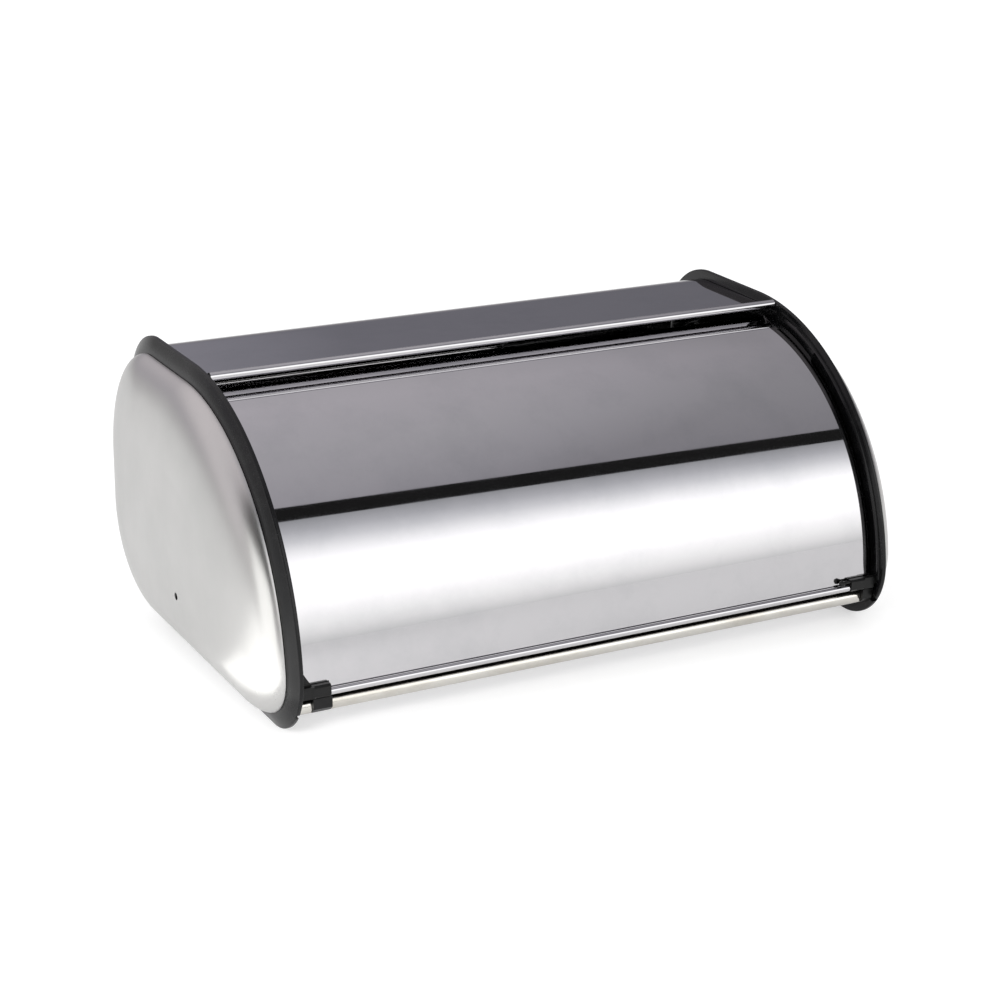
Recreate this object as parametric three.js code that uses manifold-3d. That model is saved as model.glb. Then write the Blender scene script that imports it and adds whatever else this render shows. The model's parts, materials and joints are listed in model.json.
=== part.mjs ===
// Roll-top bread box: two moulded end frames joined by an upper shell, a floor pan and a front rail,
// domed steel end caps outside them, and a curved lid that runs in tracks in the frames.
// Millimetres. X is the width, -Y the front, +Z up; the origin is the middle of the footprint.
import * as THREE from "three";
import { mergeVertices } from "three/addons/utils/BufferGeometryUtils.js";
import Module from "manifold-3d";

const wasm = await Module();
wasm.setup();

// Driving dimensions. Depths and heights of the body are measured from the lid's axis.
const frameFace = 193.7; // from the middle of the box to the inner face of an end frame
const frontRadius = 153.5; // outline of the end frames in front, round the lid's axis
const backReach = 109; // from the axis to the rear of the end frames
const baseDrop = 27; // from the axis to the surface the box stands on
const frontFootRadius = 38; // lower front corner of the outline
const rearFootRadius = 72; // lower rear corner
const rearTopRadius = 50; // upper rear corner

const rimThickness = 2.6; // edge of an end frame, along X
const bandWidth = 10; // sloping band round an end frame, between its edge and the cap
const bandRise = 3.7;
const capSeatWidth = 3; // flat that the foot of the cap stands on
const plateThickness = 3.3; // end frame inside the cap
const plateDraft = 1.5;
const seatGap = 0.3; // between fixed pieces that touch
const runningGap = 0.4; // between pieces that move past each other

const capDepth = 21.3; // height of the dome over its foot
const capThickness = 0.8;
const capShoulder = { front: 48, top: 46, base: 38, back: 32 }; // width of the dome's curved border
const capFaceCorner = { frontFoot: 14, rearFoot: 33, rearTop: 40 }; // corners of its flat face
const capFaceStraight = 1; // least straight edge left between its two rear corners
const capCrown = 1.4;
const capCrownReach = 0.8; // share of the way to the middle of the face that the crown curves over
const ventHoleRadius = 2.3;
const ventHoleY = -28; // from the axis
const ventHoleZ = 23;

const sheetInset = 6.2; // the shell lies this far inside the outline of the frames
const sheetThickness = 0.7;
const lapLength = 20; // floor pan over the lower edge of the shell
const lapBack = 4;
const lipRadius = 2.6; // rolled front edge of the shell
const lipY = -20.5;
const lipCurl = 8; // length over which the sheet turns up to the roll
const lipRise = 2.9; // of the middle of the roll over the shell's top
const sheetEndGap = 0.5; // between a sheet's side edge and an end frame

const lidSetback = 10.6; // the lid's face lies this far inside the outline of the frames
const lidThickness = 0.7;
const lidTopAngle = 83; // upper edge of the closed lid, degrees above the front of its axis
const lidTravel = 50; // degrees that the lid turns
const topHemRadius = 2.2;
const topHemProud = 0.8; // of the upper roll over the lid's face
const lowHemRadius = 2.1;
const lowHemRise = 0.44; // middle of the lower roll above the axis

const railRadius = 4.5;
const railSetIn = 16.5; // middle of the rail inside the outline of the frames
const railGap = 2.9; // between the lower roll of the lid and the top of the rail
const railSocketDepth = 2;

const trackSetback = 9.3; // middle of the outer track inside the outline of the frames
const trackWidth = 6.4;
const trackFloor = 1.1; // what is left of the plate under a track
const trackStart = -3.5; // degrees
const trackSlack = 10; // degrees of outer track past the pin of the open lid
const innerTrackDrop = 4.7; // middle of the inner track below the lid's face
const innerTrackSlack = 3; // degrees at each end
const ribHeight = 1.2; // ribs along the outer track
const ribWidth = 2;
const ribOffset = 0.7; // from the side of the track
const innerRibSpan = [4, 80]; // degrees
const outerRibSpan = [2, 78];

const block = { width: 11, depth: 5.4, height: 7.6, bevel: 1.2, inset: 7.7, setIn: 1.2 }; // lower slider
const pinAngle = 1.2; // its pin, degrees above the front
const nibY = 2.7; // nib of the right-hand slider, in front of the lid's face
const nibZ = 6.3; // above the bottom of the block
const web = { width: 7, height: 10, thickness: 1.6, setOut: 0.4 }; // of the left-hand slider
const rearBlock = { width: 10, depth: 6, angle: 5 }; // upper slider
const rearPinAngle = 6.5; // its pin, degrees below the lid's upper edge

const leftStop = { width: 11.5, inset: 9.3 }; // inset from the clip's outer end to the frame
const rightStop = { width: 6.6, inset: 0.5 };
const stopDepth = 2.2; // of a clip in front of the rail
const stopDrop = 1.4; // bottom of a clip below the middle of the rail
const stopBevel = { top: 1.2, base: 1 };
const stopGrip = [125, 225]; // degrees of the rail that a clip hugs

const bossSize = 9;
const bossLength = 12;
const screwShank = 1.5; // radius
const screwLength = 9;
const screwTip = 1.5;
const screwHeadRadius = 3.3;
const screwHeadHeight = 2;
const holeClearance = 0.3;
const frontScrewBack = 43; // from the centre of the lower front corner
const rearScrewFront = 15; // from the edge of the lap

const sunk = 1; // how far a piece reaches into the one it is joined to

// Derived places
const rad = THREE.MathUtils.degToRad;
const footZ = frontFootRadius - baseDrop; // centre of the lower front corner
const footY = -Math.sqrt((frontRadius - frontFootRadius) ** 2 - footZ ** 2);
const axisY = (frontFootRadius - footY - backReach) / 2;
const seatX = frameFace + rimThickness + bandRise;
const capFaceHeight = frontRadius + baseDrop - 2 * bandWidth - capShoulder.top - capShoulder.base;
const lidRadius = frontRadius - lidSetback;
const lidEndGap = ribHeight + seatGap; // between the lid's side edge and an end frame
const shellTop = frontRadius - sheetInset;
const floorInset = sheetInset + sheetThickness + seatGap;
const shellEdgeY = backReach - rearFootRadius - lapLength;
const lowHem = { y: -(lidRadius + lowHemRadius - lidThickness), z: lowHemRise };
const rail = { y: railSetIn - frontRadius, z: lowHem.z - lowHemRadius - railGap - railRadius };
const trackRadius = frontRadius - trackSetback;
const innerTrackRadius = lidRadius - innerTrackDrop;
const trackDepth = plateThickness - trackFloor;
const pinRadius = trackWidth / 2 - runningGap;
const stopTop = lowHem.z - lowHemRadius - seatGap;
const blockBottom = stopTop + seatGap;
const blockTop = blockBottom + block.height;
const blockOuterX = frameFace - block.inset;
const blockInnerX = blockOuterX - block.width;

// ---- shapes ----

// Points of an arc in the YZ plane, angles in degrees from +Y towards +Z.
function arc(y, z, radius, from, to, steps) {
  return Array.from({ length: steps + 1 }, (_, i) => {
    const a = rad(from + ((to - from) * i) / steps);
    return new THREE.Vector2(y + radius * Math.cos(a), z + radius * Math.sin(a));
  });
}

// Outline of the box seen from the end, anticlockwise from the front of its flat top. Each side has an
// inset of its own and each corner a radius, and every outline has the same number of points.
function boxOutline(inset, corner) {
  const top = frontRadius - inset.top;
  const bow = frontRadius - inset.front;
  const bowZ = top - bow;
  const base = -baseDrop + inset.base;
  const back = backReach - inset.back;
  const turn = Math.asin((base + corner.frontFoot - bowZ) / (bow - corner.frontFoot));
  const turnY = -(bow - corner.frontFoot) * Math.cos(turn);
  const turnDegrees = THREE.MathUtils.radToDeg(turn);
  return [
    ...arc(0, bowZ, bow, 90, 180 - turnDegrees, 24),
    ...arc(turnY, base + corner.frontFoot, corner.frontFoot, 180 - turnDegrees, 270, 10).slice(1),
    ...arc(back - corner.rearFoot, base + corner.rearFoot, corner.rearFoot, 270, 360, 12),
    ...arc(back - corner.rearTop, top - corner.rearTop, corner.rearTop, 0, 90, 10),
  ];
}

// The same outline moved in evenly all round.
function insetOutline(inset) {
  return boxOutline(
    { front: inset, top: inset, base: inset, back: inset },
    { frontFoot: frontFootRadius - inset, rearFoot: rearFootRadius - inset, rearTop: rearTopRadius - inset },
  );
}

// Closed solid through sections { x, points } of equally many points, with flat ends.
function loft(sections) {
  const count = sections[0].points.length;
  const positions = sections.flatMap((s) => s.points.flatMap((p) => [s.x, p.x, p.y]));
  const indices = [];
  for (let k = 0; k + 1 < sections.length; k++) {
    for (let i = 0; i < count; i++) {
      const a = k * count + i;
      const b = k * count + ((i + 1) % count);
      indices.push(a, b, b + count, a, b + count, a + count);
    }
  }
  const last = (sections.length - 1) * count;
  for (const [a, b, c] of THREE.ShapeUtils.triangulateShape(sections[0].points, [])) {
    indices.push(a, c, b);
  }
  for (const [a, b, c] of THREE.ShapeUtils.triangulateShape(sections.at(-1).points, [])) {
    indices.push(last + a, last + b, last + c);
  }
  const geometry = new THREE.BufferGeometry();
  geometry.setAttribute("position", new THREE.Float32BufferAttribute(positions, 3));
  geometry.setIndex(indices);
  return geometry;
}

// Outline in the YZ plane drawn out along X between two places.
function alongX(points, fromX, toX) {
  const shape = new THREE.Shape(points);
  const geometry = new THREE.ExtrudeGeometry(shape, { depth: toX - fromX, bevelEnabled: false });
  const yz = new THREE.Matrix4().makeBasis(
    new THREE.Vector3(0, 1, 0),
    new THREE.Vector3(0, 0, 1),
    new THREE.Vector3(1, 0, 0),
  );
  return geometry.applyMatrix4(yz).translate(fromX, 0, 0);
}

// Strip of even thickness that follows a line of points in the YZ plane, on its left side.
function strip(line, thickness) {
  const inner = line.map((p, i) => {
    const before = line[Math.max(i - 1, 0)];
    const after = line[Math.min(i + 1, line.length - 1)];
    const along = after.clone().sub(before).normalize();
    return new THREE.Vector2(p.x - along.y * thickness, p.y + along.x * thickness);
  });
  return [...line, ...inner.reverse()];
}

// Cylinder along X with its middle at (y, z).
function rodX(radius, y, z, fromX, toX, sides = 20) {
  const rod = new THREE.CylinderGeometry(radius, radius, toX - fromX, sides);
  return rod.rotateZ(Math.PI / 2).translate((fromX + toX) / 2, y, z);
}

function box(fromX, toX, fromY, toY, fromZ, toZ) {
  const geometry = new THREE.BoxGeometry(toX - fromX, toY - fromY, toZ - fromZ);
  return geometry.translate((fromX + toX) / 2, (fromY + toY) / 2, (fromZ + toZ) / 2);
}

// Curved bar round the lid's axis with round ends, angles in degrees above the front.
function trackBar(radius, width, fromAngle, toAngle, fromX, toX) {
  const low = 180 - fromAngle;
  const high = 180 - toAngle;
  const steps = Math.ceil((toAngle - fromAngle) / 4);
  const roundEnd = (angle, turn) => {
    const y = radius * Math.cos(rad(angle));
    const z = radius * Math.sin(rad(angle));
    return arc(y, z, width / 2, angle + turn, angle + turn + 180, 8).slice(1, -1);
  };
  const outline = [
    ...arc(0, 0, radius + width / 2, high, low, steps),
    ...roundEnd(low, 0),
    ...arc(0, 0, radius - width / 2, low, high, steps),
    ...roundEnd(high, 180),
  ];
  return alongX(outline, fromX, toX);
}

// ---- booleans ----

function solid(geometry) {
  const plain = geometry.clone();
  plain.deleteAttribute("normal");
  plain.deleteAttribute("uv");
  const merged = mergeVertices(plain, 1e-4);
  return new wasm.Manifold(
    new wasm.Mesh({
      numProp: 3,
      vertProperties: merged.attributes.position.array,
      triVerts: new Uint32Array(merged.index.array),
    }),
  );
}

function fromSolid(manifold) {
  const mesh = manifold.getMesh();
  const geometry = new THREE.BufferGeometry();
  geometry.setAttribute("position", new THREE.BufferAttribute(mesh.vertProperties, 3));
  geometry.setIndex(new THREE.BufferAttribute(mesh.triVerts, 1));
  geometry.computeVertexNormals();
  return geometry;
}

function join(base, ...others) {
  return fromSolid(others.reduce((sum, g) => sum.add(solid(g)), solid(base)));
}

function cut(base, ...others) {
  return fromSolid(others.reduce((rest, g) => rest.subtract(solid(g)), solid(base)));
}

// The same piece for the left side of the box, with its faces turned to point outwards again.
function mirrored(geometry) {
  const copy = mergeVertices(geometry.clone().scale(-1, 1, 1), 1e-4);
  const corners = copy.index.array;
  for (let i = 0; i < corners.length; i += 3) {
    [corners[i + 1], corners[i + 2]] = [corners[i + 2], corners[i + 1]];
  }
  return copy;
}

function bothSides(geometry) {
  return [geometry, mirrored(geometry)];
}

// ---- screws, each through a sheet into a boss of the end frame ----

const bossX = frameFace - bossLength / 2;
const screws = {
  front: { y: footY + frontScrewBack, inset: floorInset },
  rear: { y: shellEdgeY - rearScrewFront, inset: floorInset },
  back: { z: (frontRadius - rearTopRadius + rearFootRadius - baseDrop) / 2, inset: sheetInset },
};

// The back screw goes in from behind, the others from below.
function bossBox(screw) {
  const clear = screw.inset + sheetThickness + seatGap;
  const x = [frameFace - bossLength, frameFace + sunk];
  if (screw === screws.back) {
    const wall = backReach - clear;
    return box(...x, wall - bossSize, wall, screw.z - bossSize / 2, screw.z + bossSize / 2);
  }
  const floor = -baseDrop + clear;
  return box(...x, screw.y - bossSize / 2, screw.y + bossSize / 2, floor, floor + bossSize);
}

// Moves what is built upwards along Z from the outer face of a sheet to the place of a screw.
function placeOnScrew(geometry, screw) {
  if (screw !== screws.back) return geometry.translate(bossX, screw.y, -baseDrop + screw.inset);
  return geometry.rotateX(Math.PI / 2).translate(bossX, backReach - screw.inset, screw.z);
}

function screwHole(screw) {
  const radius = screwShank + holeClearance;
  const length = screwLength + 2 * sunk;
  const hole = new THREE.CylinderGeometry(radius, radius, length, 16).rotateX(Math.PI / 2);
  return placeOnScrew(hole.translate(0, 0, length / 2 - sunk), screw);
}

function screwBody(screw) {
  const under = -seatGap;
  const head = under - screwHeadHeight;
  const profile = [
    [0, head],
    [screwHeadRadius * 0.7, head],
    [screwHeadRadius, head + screwHeadHeight / 2],
    [screwHeadRadius, under],
    [screwShank, under],
    [screwShank, screwLength - screwTip],
    [0, screwLength],
  ].map(([r, h]) => new THREE.Vector2(r, h));
  return placeOnScrew(new THREE.LatheGeometry(profile, 16).rotateX(Math.PI / 2), screw);
}

// ---- end frames and caps ----

// Ribs beside the outer track, on the side towards the axis (-1) and away from it (+1).
function trackRib(side, span) {
  const radius = trackRadius + side * (trackWidth / 2 + ribOffset + ribWidth / 2);
  return trackBar(radius, ribWidth, ...span, frameFace - ribHeight, frameFace + sunk);
}

function endFrame() {
  const rimX = frameFace + rimThickness;
  const band = [0.25, 0.5, 0.75, 1].map((t) => ({
    x: rimX + bandRise * (0.45 * t + 0.55 * Math.sin((t * Math.PI) / 2)),
    points: insetOutline(bandWidth * t),
  }));
  const plate = loft([
    { x: frameFace, points: insetOutline(0) },
    { x: rimX, points: insetOutline(0) },
    ...band,
    { x: seatX, points: insetOutline(bandWidth + capSeatWidth) },
    { x: frameFace + plateThickness, points: insetOutline(bandWidth + capSeatWidth + plateDraft) },
  ]);
  const grooveX = [frameFace - ribHeight - sunk, frameFace + trackDepth];
  const outerSpan = [trackStart, pinAngle + lidTravel + trackSlack];
  const innerStart = lidTopAngle - rearPinAngle - innerTrackSlack;
  const innerSpan = [innerStart, innerStart + lidTravel + 2 * innerTrackSlack];
  const outerTrack = trackBar(trackRadius, trackWidth, ...outerSpan, ...grooveX);
  const innerTrack = trackBar(innerTrackRadius, trackWidth, ...innerSpan, ...grooveX);
  const socketEnd = frameFace + railSocketDepth;
  const socket = rodX(railRadius + holeClearance, rail.y, rail.z, grooveX[0], socketEnd, 24);
  const bosses = Object.values(screws).map(bossBox);
  const built = join(plate, trackRib(-1, innerRibSpan), trackRib(1, outerRibSpan), ...bosses);
  return cut(built, outerTrack, innerTrack, socket, ...Object.values(screws).map(screwHole));
}

// Section of the dome at a share t of its border, 0 at the foot and 1 at the flat face.
function capSection(t, shrink) {
  const inward = 1 - Math.cos((t * Math.PI) / 2);
  const foot = insetOutline(bandWidth + shrink);
  const faceInset = {};
  for (const side of Object.keys(capShoulder)) {
    faceInset[side] = bandWidth + shrink + capShoulder[side];
  }
  const room = capFaceHeight - 2 * shrink - capFaceStraight;
  const limit = Math.min(1, room / (capFaceCorner.rearFoot + capFaceCorner.rearTop));
  const corner = {};
  for (const place of Object.keys(capFaceCorner)) corner[place] = capFaceCorner[place] * limit;
  const face = boxOutline(faceInset, corner);
  return {
    x: seatX + seatGap + (capDepth - capCrown - shrink) * Math.sin((t * Math.PI) / 2),
    points: foot.map((p, i) => p.clone().lerp(face[i], inward)),
  };
}

function endCap() {
  const outer = [0, 0.14, 0.28, 0.44, 0.62, 0.8, 1].map((t) => capSection(t, 0));
  const inner = [1, 0.72, 0.46, 0.22, 0].map((t) => capSection(t, capThickness));
  const face = outer.at(-1);
  const middle = face.points.reduce((sum, p) => sum.add(p), new THREE.Vector2());
  middle.divideScalar(face.points.length);
  const crown = [0.56, 1].map((t) => ({
    x: face.x + capCrown * Math.sin((t * Math.PI) / 2),
    points: face.points.map((p) => p.clone().lerp(middle, t * capCrownReach)),
  }));
  const dome = loft([...inner, ...outer, ...crown]);
  const hole = rodX(ventHoleRadius, ventHoleY, ventHoleZ, seatX, seatX + 2 * capDepth, 16);
  return cut(dome, hole);
}

// ---- fixed sheets and rail ----

// One sheet from the rolled lip over the top and down the back to the lap under the floor pan.
function upperShell() {
  const half = frameFace - sheetEndGap;
  const topRadius = rearTopRadius - sheetInset;
  const footRadius = rearFootRadius - sheetInset;
  const line = [
    new THREE.Vector2(shellEdgeY, -baseDrop + sheetInset),
    ...arc(backReach - rearFootRadius, -baseDrop + rearFootRadius, footRadius, 270, 360, 12),
    ...arc(backReach - rearTopRadius, frontRadius - rearTopRadius, topRadius, 0, 90, 10),
    new THREE.Vector2(lipY + lipCurl, shellTop),
    new THREE.Vector2(lipY + lipRadius - sheetThickness / 2, shellTop + lipRise - sheetThickness),
  ];
  const sheet = alongX(strip(line, sheetThickness), -half, half);
  const roll = rodX(lipRadius, lipY, shellTop + lipRise, -half, half);
  return cut(join(sheet, roll), ...bothSides(screwHole(screws.back)));
}

// Floor, curved up in front to the underside of the rail.
function floorPan() {
  const half = frameFace - sheetEndGap;
  const radius = frontFootRadius - floorInset;
  const toRail = new THREE.Vector2(rail.y - footY, rail.z - footZ);
  const reach = toRail.length();
  const clear = railRadius + 2 * seatGap + sheetThickness / 2;
  const share = (radius * radius + reach * reach - clear * clear) / (2 * radius * reach);
  const end = THREE.MathUtils.radToDeg(toRail.angle() + Math.acos(share));
  const line = [
    ...arc(footY, footZ, radius, end, 270, 8),
    new THREE.Vector2(backReach - rearFootRadius - lapBack, -baseDrop + floorInset),
  ];
  const sheet = alongX(strip(line, sheetThickness), -half, half);
  return cut(sheet, ...bothSides(screwHole(screws.front)), ...bothSides(screwHole(screws.rear)));
}

function frontRail() {
  const half = frameFace + railSocketDepth - seatGap;
  return rodX(railRadius, rail.y, rail.z, -half, half, 24);
}

// Clip on the front of the rail that the closed lid rests on.
function lidStop(stop) {
  const hug = arc(rail.y, rail.z, railRadius + holeClearance, ...stopGrip, 8);
  const front = rail.y - railRadius - stopDepth;
  const base = rail.z - stopDrop;
  const outline = [
    ...hug,
    new THREE.Vector2(front + stopBevel.base, base),
    new THREE.Vector2(front, base + stopBevel.base),
    new THREE.Vector2(front, stopTop - stopBevel.top),
    new THREE.Vector2(front + stopBevel.top, stopTop),
    new THREE.Vector2(hug[0].x, stopTop),
  ];
  const outerX = frameFace - stop.inset;
  return alongX(outline, outerX - stop.width, outerX);
}

// ---- lid and sliders ----

// Curved sheet with a rolled edge above and below; its lower corners are notched for the sliders.
function lidSheet() {
  const half = frameFace - lidEndGap;
  const low = 180 - THREE.MathUtils.radToDeg(Math.asin(lowHemRise / lidRadius));
  const high = 180 - lidTopAngle;
  const sheet = alongX(strip(arc(0, 0, lidRadius, high, low, 26), lidThickness), -half, half);
  const hemReach = lidRadius - topHemRadius + topHemProud;
  const hemY = hemReach * Math.cos(rad(high));
  const hemZ = hemReach * Math.sin(rad(high));
  const topRoll = rodX(topHemRadius, hemY, hemZ, -half, half, 18);
  const lowRoll = rodX(lowHemRadius, lowHem.y, lowHem.z, -half, half, 18);
  const deep = 2 * block.depth;
  const notchY = [-lidRadius - deep, -lidRadius + deep];
  const notchZ = [lowHem.z - 2 * lowHemRadius, blockTop + runningGap];
  const notch = box(blockInnerX - runningGap, frameFace, ...notchY, ...notchZ);
  return cut(join(sheet, topRoll, lowRoll), ...bothSides(notch));
}

// Lower slider: a block in the lid's corner, an arm beside the lid and a pin in the outer track.
function lowerSlider() {
  const back = block.setIn - lidRadius;
  const front = back - block.depth;
  const outline = [
    new THREE.Vector2(front + block.bevel, blockBottom),
    new THREE.Vector2(back, blockBottom),
    new THREE.Vector2(back, blockTop),
    new THREE.Vector2(front + block.bevel, blockTop),
    new THREE.Vector2(front, blockTop - block.bevel),
    new THREE.Vector2(front, blockBottom + block.bevel),
  ];
  const body = alongX(outline, blockInnerX, blockOuterX);
  const pinY = trackRadius * Math.cos(rad(180 - pinAngle));
  const pinZ = trackRadius * Math.sin(rad(180 - pinAngle));
  const armX = [blockOuterX - sunk, frameFace - ribHeight - runningGap];
  const armY = [pinY - pinRadius, -lidRadius - runningGap];
  const arm = box(...armX, ...armY, blockBottom + runningGap, pinZ + pinRadius);
  const pin = rodX(pinRadius, pinY, pinZ, blockOuterX, frameFace + trackDepth - runningGap);
  return join(body, arm, pin);
}

// The right-hand slider keeps the nib that pulls it through the lid's corner.
function sliderNib() {
  const profile = [
    [0, -sunk],
    [0.8, -sunk],
    [0.8, 3.4],
    [2, 6.2],
    [1.6, 7.6],
    [0, 8.2],
  ].map(([r, h]) => new THREE.Vector2(r, h));
  const nib = new THREE.LatheGeometry(profile, 12).rotateZ(Math.PI / 2);
  return nib.translate(blockInnerX, -lidRadius - nibY, blockBottom + nibZ);
}

// The left-hand slider keeps a three-cornered web beside the lid, above its block.
function sliderWeb() {
  const outerX = frameFace - lidEndGap;
  const corner = new THREE.Shape([
    new THREE.Vector2(outerX - web.width, blockTop - sunk),
    new THREE.Vector2(outerX, blockTop - sunk),
    new THREE.Vector2(outerX, blockTop + web.height),
  ]);
  const geometry = new THREE.ExtrudeGeometry(corner, { depth: web.thickness, bevelEnabled: false });
  return geometry.rotateX(Math.PI / 2).translate(0, -lidRadius - web.setOut, 0);
}

// Upper slider, under the lid's top edge, with a pin in the inner track.
function upperSlider() {
  const angle = lidTopAngle - rearPinAngle;
  const span = [angle - rearBlock.angle / 2, angle + rearBlock.angle / 2];
  const outerX = frameFace - lidEndGap;
  const body = trackBar(innerTrackRadius, rearBlock.depth, ...span, outerX - rearBlock.width, outerX);
  const pinY = innerTrackRadius * Math.cos(rad(180 - angle));
  const pinZ = innerTrackRadius * Math.sin(rad(180 - angle));
  return join(body, rodX(pinRadius, pinY, pinZ, outerX - sunk, frameFace + trackDepth - runningGap));
}

// ---- assembly ----

const finishes = {
  frame: { color: 0x1c1c1d, roughness: 0.38, metalness: 0 },
  satin: { color: 0xc9c8c4, roughness: 0.36, metalness: 1 },
  polished: { color: 0xb9b8bd, roughness: 0.1, metalness: 1 },
  bright: { color: 0xd2cfc8, roughness: 0.15, metalness: 1 },
  slider: { color: 0x161616, roughness: 0.55, metalness: 0 },
  screw: { color: 0x8d8f92, roughness: 0.3, metalness: 1 },
};

const breadBox = new THREE.Group();
const body = new THREE.Group();
body.position.set(0, axisY, baseDrop);
breadBox.add(body);

function addPiece(name, geometry, finish) {
  const mesh = new THREE.Mesh(geometry, new THREE.MeshStandardMaterial(finishes[finish]));
  mesh.name = name;
  body.add(mesh);
}

function addPair(name, geometry, finish) {
  addPiece(name + "_right", geometry, finish);
  addPiece(name + "_left", mirrored(geometry), finish);
}

addPair("end_frame", endFrame(), "frame");
addPair("end_cap", endCap(), "satin");
addPiece("upper_shell", upperShell(), "polished");
addPiece("floor_pan", floorPan(), "polished");
addPiece("front_rail", frontRail(), "bright");
addPiece("lid_sheet", lidSheet(), "polished");

const slider = lowerSlider();
addPiece("lid_slider_right", join(slider, sliderNib()), "slider");
addPiece("lid_slider_left", mirrored(join(slider, sliderWeb())), "slider");
addPair("lid_rear_slider", upperSlider(), "slider");

addPiece("lid_stop_right", lidStop(rightStop), "slider");
addPiece("lid_stop_left", mirrored(lidStop(leftStop)), "slider");

for (const [name, screw] of Object.entries(screws)) addPair("screw_" + name, screwBody(screw), "screw");

export default breadBox;
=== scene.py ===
# Roll-top bread box: fine meshes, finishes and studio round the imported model.
# Metres. X is the width, -Y the front, +Z up.
import json
import math

import bmesh
import bpy
from mathutils import Matrix, Vector


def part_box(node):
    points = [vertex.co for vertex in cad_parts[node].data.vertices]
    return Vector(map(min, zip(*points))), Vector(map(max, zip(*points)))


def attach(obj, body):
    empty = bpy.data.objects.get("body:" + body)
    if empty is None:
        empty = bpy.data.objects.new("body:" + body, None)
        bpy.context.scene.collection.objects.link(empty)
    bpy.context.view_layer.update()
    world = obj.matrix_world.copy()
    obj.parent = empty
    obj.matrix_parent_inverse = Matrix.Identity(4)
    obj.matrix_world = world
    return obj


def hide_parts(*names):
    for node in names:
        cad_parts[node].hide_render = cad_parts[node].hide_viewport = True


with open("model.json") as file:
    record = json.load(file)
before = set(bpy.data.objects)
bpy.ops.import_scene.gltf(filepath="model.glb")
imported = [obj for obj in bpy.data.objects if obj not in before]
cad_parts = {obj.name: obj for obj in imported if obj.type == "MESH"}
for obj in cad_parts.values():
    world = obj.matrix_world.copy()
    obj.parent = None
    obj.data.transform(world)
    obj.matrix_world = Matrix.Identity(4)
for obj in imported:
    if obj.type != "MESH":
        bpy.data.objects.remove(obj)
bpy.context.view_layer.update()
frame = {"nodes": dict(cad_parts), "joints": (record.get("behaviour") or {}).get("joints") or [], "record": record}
print("frame loaded")

mm = 0.001
lidJoint = frame["joints"][0]
axisY = lidJoint["pos_m"][1]
axisZ = lidJoint["pos_m"][2]
frameLow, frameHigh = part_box("end_frame_right")
capLow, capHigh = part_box("end_cap_right")
shellLow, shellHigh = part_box("upper_shell")
panLow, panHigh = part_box("floor_pan")
lidLow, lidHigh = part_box("lid_sheet")
railLow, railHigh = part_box("front_rail")

# The outline is the box seen from the end, set out round the axis that the lid turns on.

outlineShape = {
    "frontRadius": frameHigh.z - axisZ,
    "backReach": frameHigh.y - axisY,
    "baseDrop": axisZ,
    "frontFoot": 38 * mm,
    "rearFoot": 72 * mm,
    "rearTop": 50 * mm,
}
frontRadius = outlineShape["frontRadius"]
sides = ("front", "top", "base", "back")


def arc(y, z, radius, start, end, steps):
    angles = [math.radians(start + (end - start) * i / steps) for i in range(steps + 1)]
    return [(y + radius * math.cos(a), z + radius * math.sin(a)) for a in angles]


def partWay(a, b, share):
    return a[0] + (b[0] - a[0]) * share, a[1] + (b[1] - a[1]) * share


def between(a, b, count):  # points that split a straight stretch, without its ends
    return [partWay(a, b, i / count) for i in range(1, count)]


def outline(inset, corner=None):  # anticlockwise from the front of the flat top
    s = outlineShape
    inset = inset if isinstance(inset, dict) else dict.fromkeys(sides, inset)
    corner = corner or {
        "frontFoot": s["frontFoot"] - inset["front"],
        "rearFoot": s["rearFoot"] - inset["back"],
        "rearTop": s["rearTop"] - inset["back"],
    }
    footR, heelR, headR = corner["frontFoot"], corner["rearFoot"], corner["rearTop"]
    top = s["frontRadius"] - inset["top"]
    bow = s["frontRadius"] - inset["front"]
    base = inset["base"] - s["baseDrop"]
    back = s["backReach"] - inset["back"]
    turn = math.asin((base + footR - top + bow) / (bow - footR))
    turnY = -(bow - footR) * math.cos(turn)
    turnAngle = 180 - math.degrees(turn)
    front = arc(0, top - bow, bow, 90, turnAngle, 90)
    foot = arc(turnY, base + footR, footR, turnAngle, 270, 36)[1:]
    heel = arc(back - heelR, base + heelR, heelR, 270, 360, 40)
    head = arc(back - headR, top - headR, headR, 0, 90, 36)
    points = front + foot + between(foot[-1], heel[0], 10) + heel
    return points + between(heel[-1], head[0], 8) + head + between(head[-1], front[0], 8)


def addObject(name, mesh):
    piece = bpy.data.objects.new(name, mesh)
    bpy.context.scene.collection.objects.link(piece)
    return piece


def shade(piece, sharpAngle=35):  # smooth, apart from edges that turn by more than this
    piece.data.shade_smooth()
    piece.data.set_sharp_from_angle(angle=math.radians(sharpAngle))


def finishMesh(name, bm, sharpAngle=35):
    bmesh.ops.recalc_face_normals(bm, faces=bm.faces)
    mesh = bpy.data.meshes.new(name)
    bm.to_mesh(mesh)
    bm.free()
    piece = addObject(name, mesh)
    shade(piece, sharpAngle)
    return piece


def loft(bm, sections):  # sections are (x, points round the axis), all of one length
    rings = [[bm.verts.new((x, y + axisY, z + axisZ)) for y, z in points] for x, points in sections]
    count = len(rings[0])
    for a, b in zip(rings, rings[1:]):
        for i in range(count):
            j = (i + 1) % count
            bm.faces.new((a[i], a[j], b[j], b[i]))
    bm.faces.new(rings[0])
    bm.faces.new(rings[-1])


def drawnOut(name, points, lowX, highX):  # a profile in YZ drawn out along X
    bm = bmesh.new()
    loft(bm, [(lowX, points), (highX, points)])
    return finishMesh(name, bm)


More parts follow.
